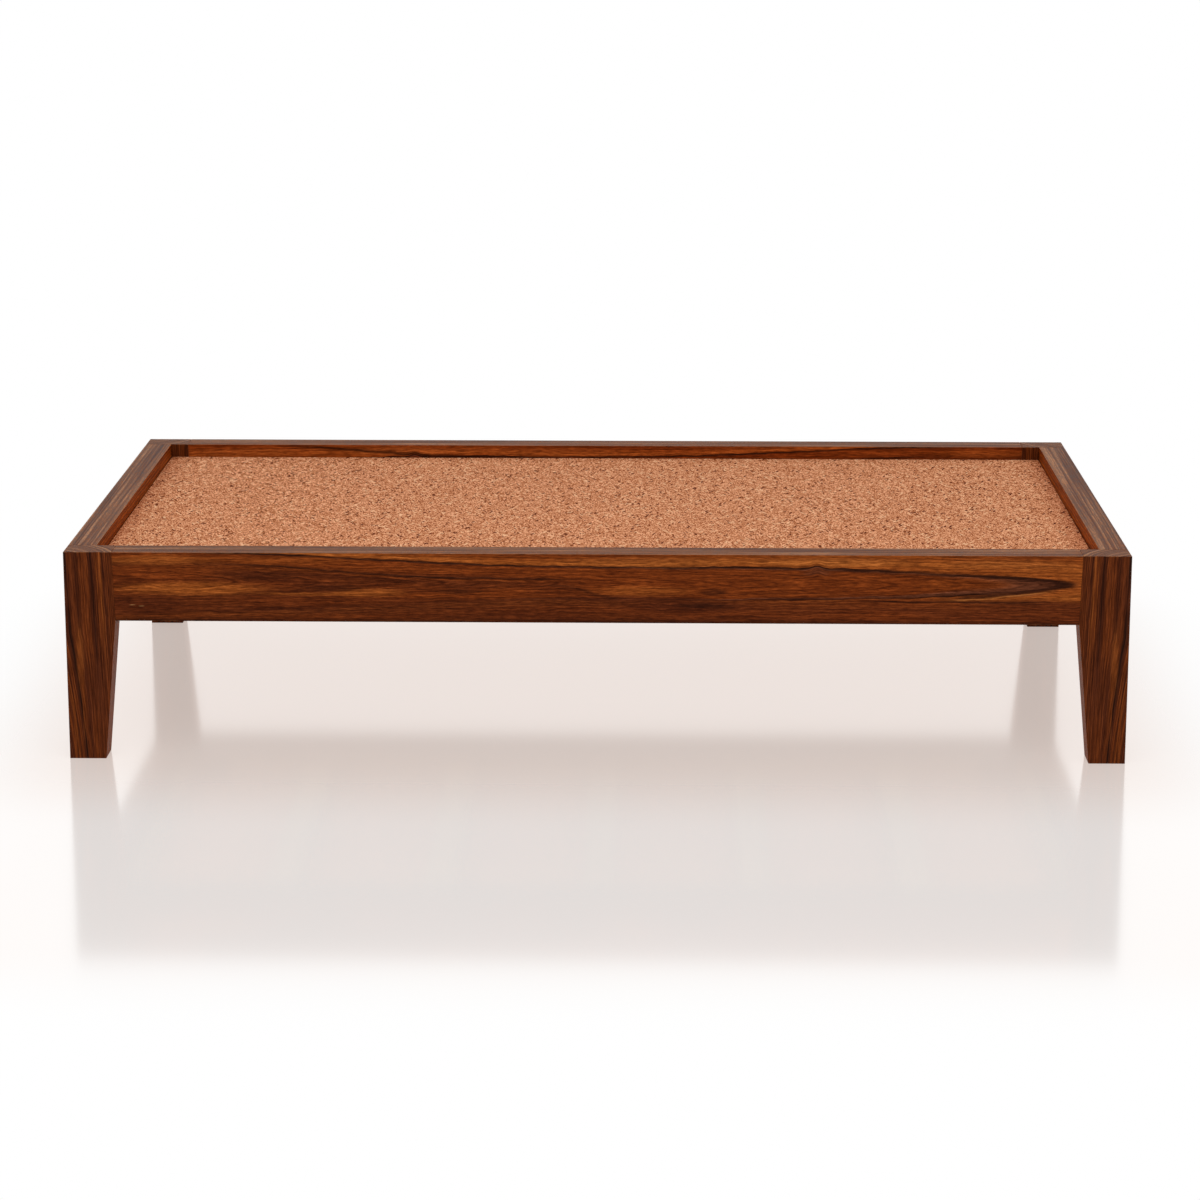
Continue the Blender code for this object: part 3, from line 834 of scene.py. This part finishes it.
def chipboard():
    """Pressed chips that lie mostly across the bed, bare and sanded, with a few dark and pale ones."""
    surface = Surface("chipboard_bare")
    point = surface.place()
    fray = surface.shade(surface.noise(point, CHIP_FRAY_GRAINS, output="Color"), CHIP_FRAY)
    frayed = surface.add("ShaderNodeVectorMath", {0: point, 1: fray}, operation="ADD").outputs[0]

    def turned(turn):
        values = {"Vector": frayed, "Rotation": (0.0, 0.0, turn)}
        return surface.add("ShaderNodeMapping", values).outputs[0]

    light = 0.0
    for turn, grains in CHIP_LAYERS:
        chip = surface.cells(turned(turn), grains)[0]
        light = surface.plus(light, surface.plus(chip, -MIDDLE))
    colour = surface.ramp(light, CHIP_TONES)
    for odd_colour, turn, grains, share, fill in ODD_CHIPS:
        chip, away = surface.cells(turned(turn), grains)
        chosen = surface.math("LESS_THAN", chip, share)
        inside = surface.remap(away, fill + ODD_BLUR, fill)
        colour = surface.mix(surface.times(chosen, inside), colour, odd_colour)
    dust = surface.noise(point, DUST_GRAINS, roughness=ROUGHEST)
    colour = surface.shade(colour, surface.vary(dust, DUST_DEPTH))
    # Painted shade along the deck's two ends
    along = surface.math("ABSOLUTE", surface.axes(point)[X])
    from_end = surface.math("SUBTRACT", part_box("deck_panel")[1].x, along)
    colour = surface.mix(surface.remap(from_end, 0.0, ENDS_SHADE_REACH), surface.tint(colour, ENDS_PAINTED_SHADE), colour)
    return surface.finish(
        base_color=colour,
        roughness=CHIP_ROUGHNESS,
        specular_ior_level=CHIP_LEVEL,
        normal=surface.bump(surface.plus(light, dust), *CHIP_RELIEF),
    )


# Carcass

# Colours of the carcass, in linear light
SOFTWOOD = (0.46, 0.28, 0.14)
SOFTWOOD_LATE = (0.33, 0.17, 0.07)
BEECH = (0.56, 0.36, 0.20)
ZINC = (0.56, 0.57, 0.60)

# Softwood: late wood and fibres per metre along, across and up, the levels of their noises between which
# each grows, the fibres' tones, roughness, specular level, and relief: depth in metres, strength
SOFTWOOD_BANDS = (1.5, 70.0, 70.0)
SOFTWOOD_BAND_LEVELS = (0.45, 0.65)
SOFTWOOD_FIBRES = (12.0, 700.0, 700.0)
SOFTWOOD_FIBRE_LEVELS = (0.3, 0.7)
SOFTWOOD_SHADES = (0.85, 1.12)
SOFTWOOD_ROUGHNESS = 0.75
SOFTWOOD_LEVEL = 0.2
SOFTWOOD_RELIEF = (0.0004, 0.4)

# Beech: flecks per metre, the levels of their noise, their tones, roughness, and relief: depth, strength
BEECH_FLECKS = (60.0, 900.0, 900.0)
BEECH_LEVELS = (0.35, 0.7)
BEECH_SHADES = (1.06, 0.8)
BEECH_ROUGHNESS = 0.7
BEECH_RELIEF = (0.0003, 0.4)

# Zinc: patches per metre, the levels of their noise, their tones, and their roughness
ZINC_PATCHES = 260.0
ZINC_LEVELS = (0.3, 0.7)
ZINC_SHADES = (0.85, 1.1)
ZINC_ROUGHNESS = (0.28, 0.48)


def softwood(name, grain_axis):
    """Planed, unfinished wood of the ledgers and battens, with its grain along X or Y."""
    surface = Surface(name)
    x, y, z = surface.axes(surface.place())
    along, across = (x, y) if grain_axis == "X" else (y, x)
    board = surface.vector(along, across, z)
    bands = surface.noise(board, SOFTWOOD_BANDS, MANY_LAYERS)
    fibres = surface.noise(board, SOFTWOOD_FIBRES, MANY_LAYERS)
    colour = surface.mix(surface.remap(bands, *SOFTWOOD_BAND_LEVELS), SOFTWOOD, SOFTWOOD_LATE)
    colour = surface.shade(colour, surface.remap(fibres, *SOFTWOOD_FIBRE_LEVELS, *SOFTWOOD_SHADES))
    return surface.finish(
        base_color=colour,
        roughness=SOFTWOOD_ROUGHNESS,
        specular_ior_level=SOFTWOOD_LEVEL,
        normal=surface.bump(fibres, *SOFTWOOD_RELIEF),
    )


def beech():
    """Flecked wood of the dowels."""
    surface = Surface("beech_dowel")
    flecks = surface.noise(surface.place(), BEECH_FLECKS)
    colour = surface.shade(BEECH, surface.remap(flecks, *BEECH_LEVELS, *BEECH_SHADES))
    return surface.finish(
        base_color=colour,
        roughness=BEECH_ROUGHNESS,
        normal=surface.bump(flecks, *BEECH_RELIEF),
    )


def zinc():
    """Dull, patchy plating of the bolts, nuts, washers and screws."""
    surface = Surface("zinc_plate")
    patches = surface.noise(surface.place(), ZINC_PATCHES, MANY_LAYERS, ROUGH)
    colour = surface.shade(ZINC, surface.remap(patches, *ZINC_LEVELS, *ZINC_SHADES))
    return surface.finish(
        base_color=colour,
        metallic=1.0,
        roughness=surface.remap(patches, *ZINC_LEVELS, *ZINC_ROUGHNESS),
    )


def dress(material, *names):
    """Gives each of the named pieces the material."""
    for name in names:
        slots = nodes[name].data.materials
        slots.clear()
        slots.append(material)


def names_from(*starts):
    """The names of all pieces that begin with one of these words."""
    return [name for name in nodes if name.startswith(starts)]


for side in SIDES:
    dress(side_rail_wood(side), f"side_rail_{side}")
    for end in ENDS:
        dress(leg_wood(side, end), f"leg_{side}_{end}")
for end in ENDS:
    dress(end_rail_wood(end), f"end_rail_{end}")
dress(chipboard(), "deck_panel")
dress(softwood("softwood_lengthwise", "X"), "side_ledger_front", "side_ledger_rear")
dress(
    softwood("softwood_crosswise", "Y"),
    *names_from("cross_batten", "end_ledger_left", "end_ledger_right"),
)
dress(beech(), *names_from("rail_dowel"))
dress(
    zinc(),
    *names_from("rail_bolt", "rail_nut", "half_moon"),
    *names_from("batten_screw", "side_ledger_screw", "end_ledger_screw"),
)


# Studio

WHITE = (1.0, 1.0, 1.0)

# The floor: the length of its sides in metres, and the colour of its matt surface, which takes the shadow
FLOOR_SIZE = 60.0
FLOOR_COLOUR = (0.92, 0.93, 0.92)

# A pale cover that the camera sees, with a painted shadow: its colour under the bed, darker and warmer, its
# colour about the bed, with a faint painted shade, and its share under the bed
FLOOR_PAINTED_SHADOW = (0.93, 0.80, 0.735)
FLOOR_OPEN = (1.0, 0.958, 0.935)
FLOOR_LIFT = 0.80

# The floor's polish
FLOOR_GLOSS_ROUGHNESS = 0.12
FLOOR_GLOSS_IOR = 2.3

# Half the length and depth of the floor's parts with the painted shadow, the faint painted shade and the
# mirror, and how far each fades out
SHADE_REACH = (1.0, 0.5)
SHADE_FADE = 0.45
TINT_REACH = (0.95, 1.5)
MIRROR_REACH = (1.7, 1.5)
FLOOR_FADE = 0.42

# The light: the level of the dome, and the lamp's place and size in metres and its power in watts
DOME_LEVEL = 0.70
LAMP_PLACE = (0.0, -3.0, 4.0)
LAMP_SIZE = (5.0, 4.0)
LAMP_POWER = 110.0

# The camera: its place in metres, its tilt down and turn to the left in radians, the focal length in
# millimetres, and the shift of the frame
CAMERA_PLACE = (0.1044, -6.1438, 1.8296)
CAMERA_TILT = 0.2032
CAMERA_TURN = 0.0172
CAMERA_LENS = 91.67
CAMERA_SHIFT = -0.15


def seen_directly(tree):
    """1 on rays from the camera, and on those that a mirror or glass passes on, and otherwise 0."""
    path = tree.nodes.new("ShaderNodeLightPath")
    total = path.outputs["Is Camera Ray"]
    for name in ("Is Glossy Ray", "Is Transmission Ray"):
        both = tree.nodes.new("ShaderNodeMath")
        both.operation = "MAXIMUM"
        tree.links.new(total, both.inputs[0])
        tree.links.new(path.outputs[name], both.inputs[1])
        total = both.outputs[0]
    return total


def beyond(surface, reach, fade):
    """0 within a rectangle about the middle of the floor, rising to 1 at a distance outside it."""
    total = 0.0
    for axis, half in zip(surface.axes(surface.place()), reach):
        out = surface.math("MAXIMUM", surface.plus(surface.math("ABSOLUTE", axis), -half), 0.0)
        total = surface.plus(total, surface.square(out))
    return surface.remap(surface.math("SQRT", total), 0.0, fade, smooth=True)


def make_floor():
    """A polished pale floor that takes the bed's shadow, with more shadow painted under the bed, mirrors the
    bed and turns white further off.
    """
    bpy.ops.mesh.primitive_plane_add(size=FLOOR_SIZE)
    floor = bpy.context.object
    floor.name = "studio_floor"
    surface = Surface("studio_floor")
    seen = seen_directly(surface.tree)
    # The camera sees a pale cover with a shadow painted under the bed and a faint warm shade painted about
    # it
    open_floor = beyond(surface, SHADE_REACH, SHADE_FADE)
    pale_colour = surface.mix(open_floor, FLOOR_PAINTED_SHADOW, FLOOR_OPEN)
    pale_colour = surface.mix(beyond(surface, TINT_REACH, FLOOR_FADE), pale_colour, WHITE)
    lift = surface.remap(open_floor, 0.0, 1.0, FLOOR_LIFT, 1.0)
    matt = surface.add("ShaderNodeBsdfDiffuse", {"Color": FLOOR_COLOUR}).outputs[0]
    pale = surface.add("ShaderNodeEmission", {"Color": pale_colour}).outputs[0]
    white = surface.add("ShaderNodeEmission", {"Color": WHITE}).outputs[0]
    polish = {"Color": WHITE, "Roughness": FLOOR_GLOSS_ROUGHNESS}
    gloss = surface.add("ShaderNodeBsdfGlossy", polish).outputs[0]
    fresnel = surface.add("ShaderNodeFresnel", {"IOR": FLOOR_GLOSS_IOR}).outputs[0]
    look = surface.blend(surface.times(seen, lift), matt, pale)
    look = surface.blend(fresnel, look, gloss)
    look = surface.blend(surface.times(seen, beyond(surface, MIRROR_REACH, FLOOR_FADE)), look, white)
    surface.feed(surface.tree.nodes["Material Output"].inputs["Surface"], look)
    floor.data.materials.append(surface.material)


def make_light():
    """A dome that the camera sees as white, and one large soft lamp."""
    world = bpy.data.worlds.new("studio")
    world.use_nodes = True
    bpy.context.scene.world = world
    tree = world.node_tree
    background = tree.nodes["Background"]
    background.inputs["Color"].default_value = (*WHITE, OPAQUE)
    level = tree.nodes.new("ShaderNodeMapRange")
    level.inputs["To Min"].default_value = DOME_LEVEL
    tree.links.new(seen_directly(tree), level.inputs["Value"])
    tree.links.new(level.outputs["Result"], background.inputs["Strength"])

    lamp = bpy.data.lights.new("softbox", "AREA")
    lamp.shape = "RECTANGLE"
    lamp.size, lamp.size_y = LAMP_SIZE
    lamp.energy = LAMP_POWER
    holder = bpy.data.objects.new("softbox", lamp)
    holder.location = LAMP_PLACE
    bpy.context.scene.collection.objects.link(holder)


def make_camera():
    """The camera of the photograph."""
    camera = bpy.data.cameras.new("camera")
    camera.lens = CAMERA_LENS
    camera.shift_y = CAMERA_SHIFT
    holder = bpy.data.objects.new("camera", camera)
    holder.location = CAMERA_PLACE
    holder.rotation_euler = (math.pi / 2 - CAMERA_TILT, 0.0, CAMERA_TURN)
    bpy.context.scene.collection.objects.link(holder)
    bpy.context.scene.camera = holder


make_floor()
make_light()
make_camera()
bpy.context.scene.view_settings.view_transform = "Standard"
